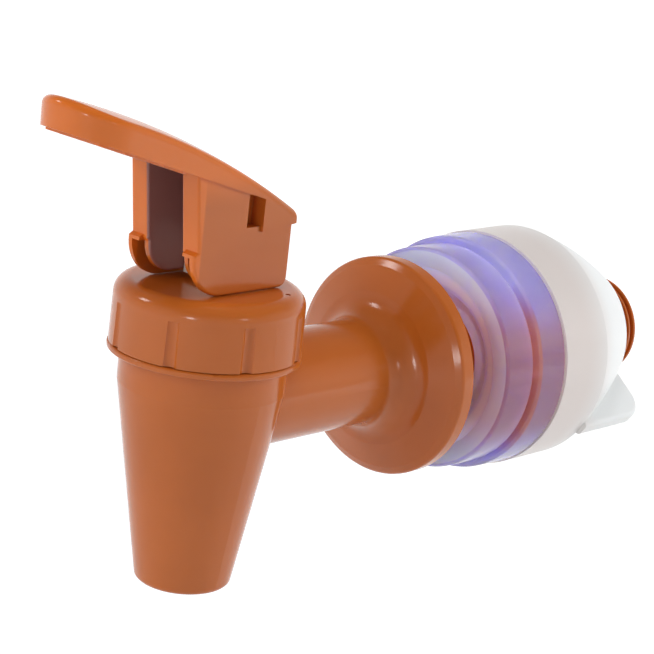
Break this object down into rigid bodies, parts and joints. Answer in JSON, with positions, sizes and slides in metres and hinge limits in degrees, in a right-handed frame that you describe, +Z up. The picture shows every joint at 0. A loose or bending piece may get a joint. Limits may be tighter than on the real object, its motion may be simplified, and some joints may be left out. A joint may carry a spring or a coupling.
{
  "type": "water filter tap",
  "caption": "Push-lever tap of brown plastic for a clay water filter, with a tapered spout, a round wall flange, a hollow threaded shank, silicone washers and a white wing nut.",
  "frame": {"origin": "centre of the wall flange's rear face, on the shank's axis", "axes": "+Y along the shank into the vessel, away from the user; +Z up; +X to the right of a user who faces the tap"},
  "size_m": [0.0472, 0.1554, 0.0896],
  "materials": {
    "brown_plastic": "smooth glossy",
    "violet_silicone": "translucent satin",
    "white_plastic": "smooth satin",
    "natural_plastic": "satin",
    "clear_silicone": "translucent matte",
    "spring_steel": "bright drawn wire"
  },
  "bodies": {
    "tap": {"tap_body": "brown_plastic", "bonnet": "brown_plastic", "spring_washer": "natural_plastic"},
    "stem": {"stem": "natural_plastic", "seat_cup": "clear_silicone", "spring": "spring_steel"},
    "lever": {"lever": "brown_plastic"},
    "front_washer": {"front_washer": "violet_silicone"},
    "rear_washer": {"rear_washer": "violet_silicone"},
    "wing_nut": {"wing_nut": "white_plastic"}
  },
  "joints": [
    {"name": "stem_lift", "type": "slide", "parent": "tap", "child": "stem", "axis": [0, 0, 1], "range_m": [0, 0.0029], "stiffness_N_per_m": 300, "springref_m": -0.004, "deforming": ["spring", "seat_cup"]},
    {"name": "lever_press", "type": "hinge", "parent": "stem", "child": "lever", "pos_m": [0, -0.0505, 0.0276], "axis": [1, 0, 0], "range_deg": [0, 28]},
    {"name": "rear_washer_slide", "type": "slide", "parent": "tap", "child": "rear_washer", "axis": [0, 1, 0], "range_m": [-0.00972, 0.00952]},
    {"name": "front_washer_slide", "type": "slide", "parent": "tap", "child": "front_washer", "axis": [0, 1, 0], "range_m": [-0.00917, 0.009]},
    {"name": "nut_turn", "type": "hinge", "parent": "rear_washer", "child": "wing_nut", "pos_m": [0, 0.0251, 0], "axis": [0, 1, 0], "range_deg": [-1925, 1885]}
  ],
  "couplings": [
    {"joint": "lever_press", "follows": "stem_lift", "rad_per_m": 168.3},
    {"joint": "rear_washer_slide", "follows": "nut_turn", "m_per_rad": 0.00028871},
    {"joint": "front_washer_slide", "follows": "nut_turn", "m_per_rad": 0.00027234}
  ]
}
